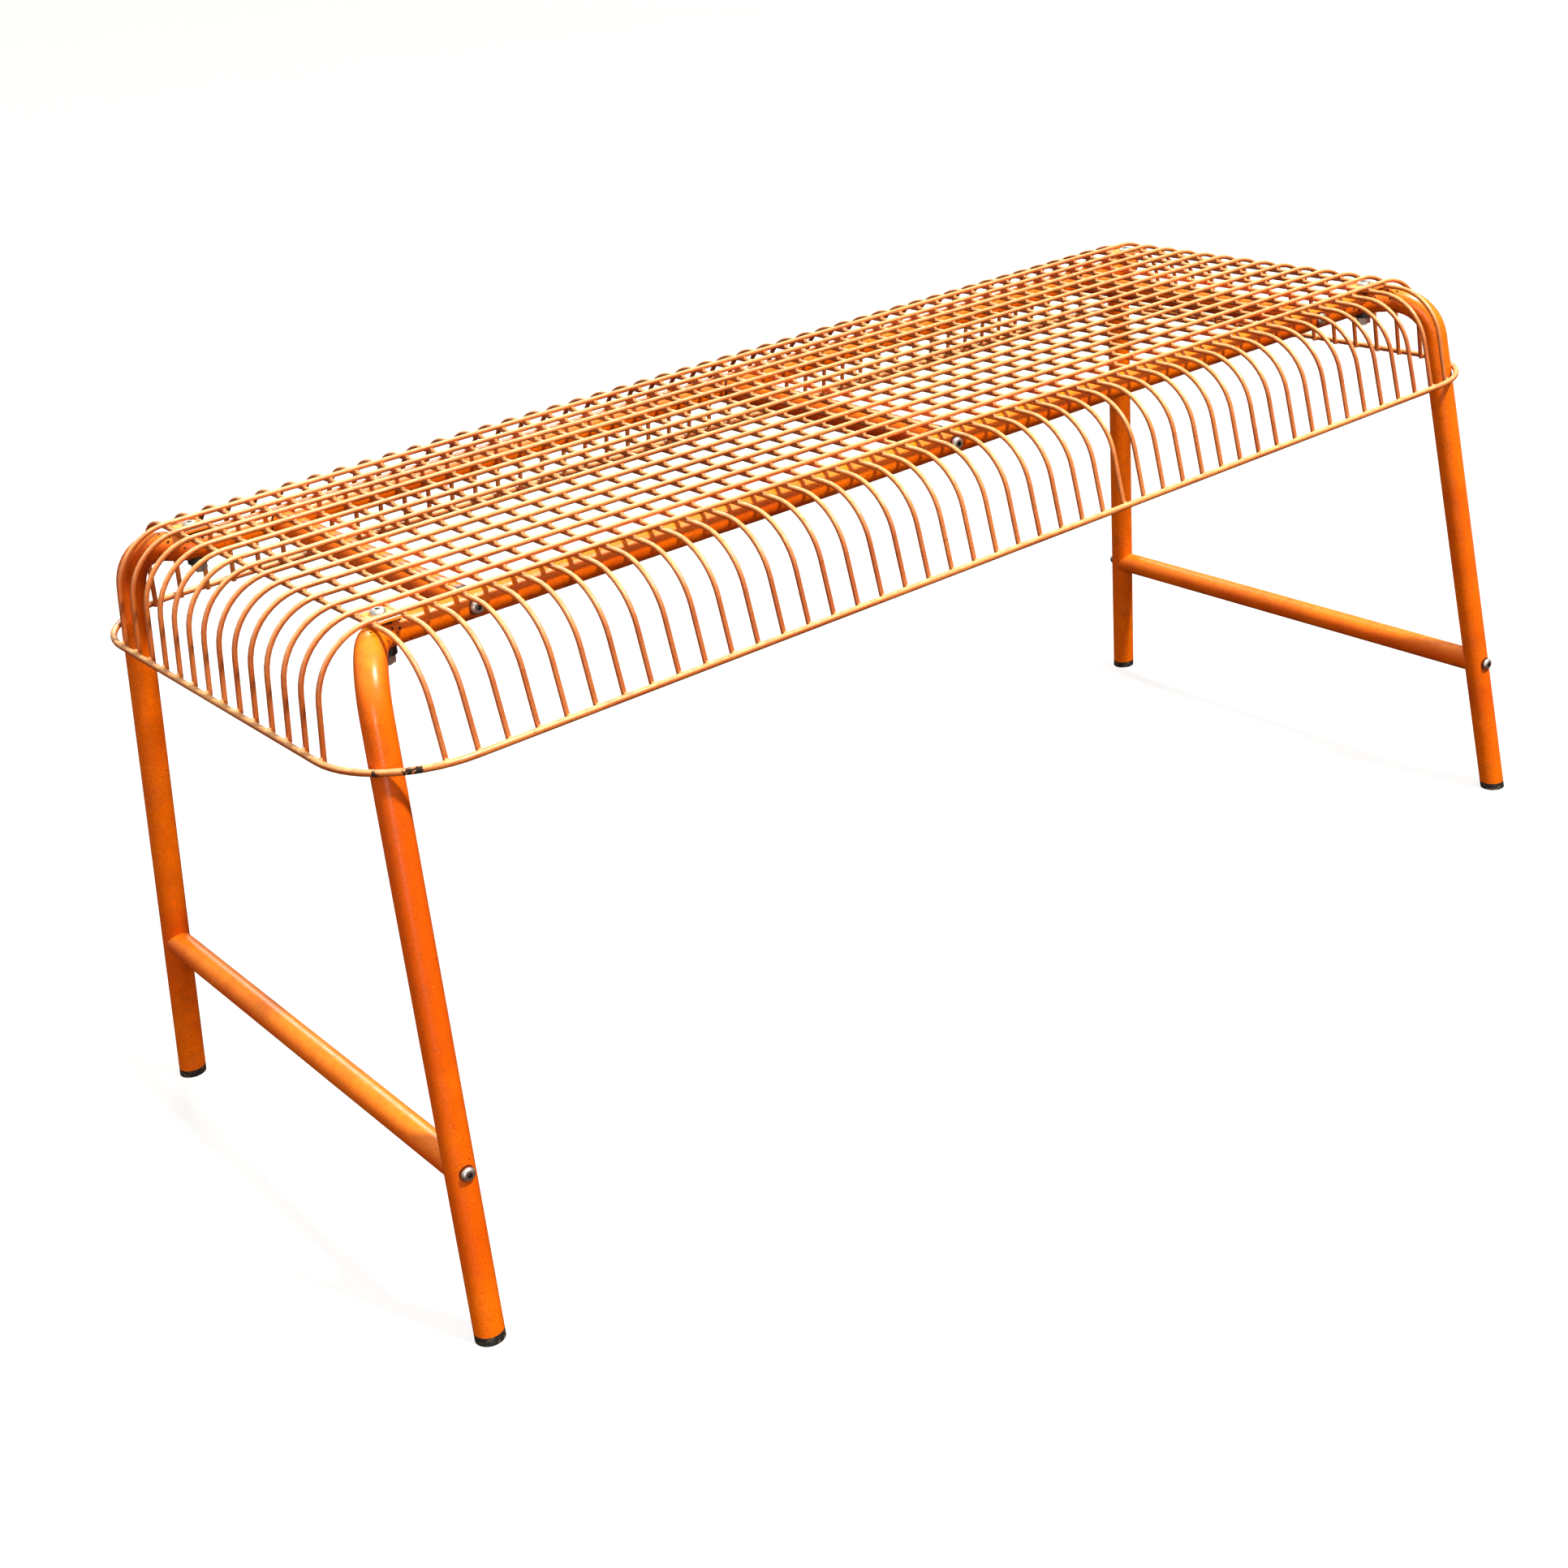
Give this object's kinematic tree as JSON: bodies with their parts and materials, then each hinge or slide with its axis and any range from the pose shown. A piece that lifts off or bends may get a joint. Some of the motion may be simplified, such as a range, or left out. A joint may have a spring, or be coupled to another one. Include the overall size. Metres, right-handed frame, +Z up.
{
  "type": "wire mesh garden bench",
  "caption": "Garden bench: a steel wire-mesh seat bent down all round over a bent-tube frame with splayed legs and a stretcher at each end.",
  "frame": {"origin": "on the floor under the middle of the seat", "axes": "+X along the bench, with the left end at -X; +Y from the front to the rear; +Z up"},
  "size_m": [1.05, 0.4742, 0.4518],
  "materials": {
    "orange_tube": "semi-gloss orange powder coat",
    "orange_wire": "semi-gloss orange powder coat, sun-faded",
    "zinc_steel": "bright zinc-plated steel",
    "black_plastic": "matt black moulded plastic"
  },
  "bodies": {
    "root": {"front_frame_tube": "orange_tube", "rear_frame_tube": "orange_tube", "left_stretcher": "orange_tube", "right_stretcher": "orange_tube", "cross_rail_left": "orange_tube", "cross_rail_centre": "orange_tube", "cross_rail_right": "orange_tube", "cross_rail_liners": "black_plastic", "cross_rail_inserts": "zinc_steel", "stretcher_inserts": "zinc_steel", "cross_rail_bolts": "zinc_steel", "stretcher_bolts": "zinc_steel", "seat_cross_wires": "orange_wire", "seat_long_wires": "orange_wire", "border_wire": "orange_wire", "corner_tab_front_left": "orange_wire", "corner_tab_front_right": "orange_wire", "corner_tab_rear_left": "orange_wire", "corner_tab_rear_right": "orange_wire", "upper_saddles": "black_plastic", "lower_saddles": "black_plastic", "seat_nuts": "zinc_steel", "seat_screws": "zinc_steel", "foot_front_left": "black_plastic", "foot_front_right": "black_plastic", "foot_rear_left": "black_plastic", "foot_rear_right": "black_plastic"}
  },
  "joints": []
}
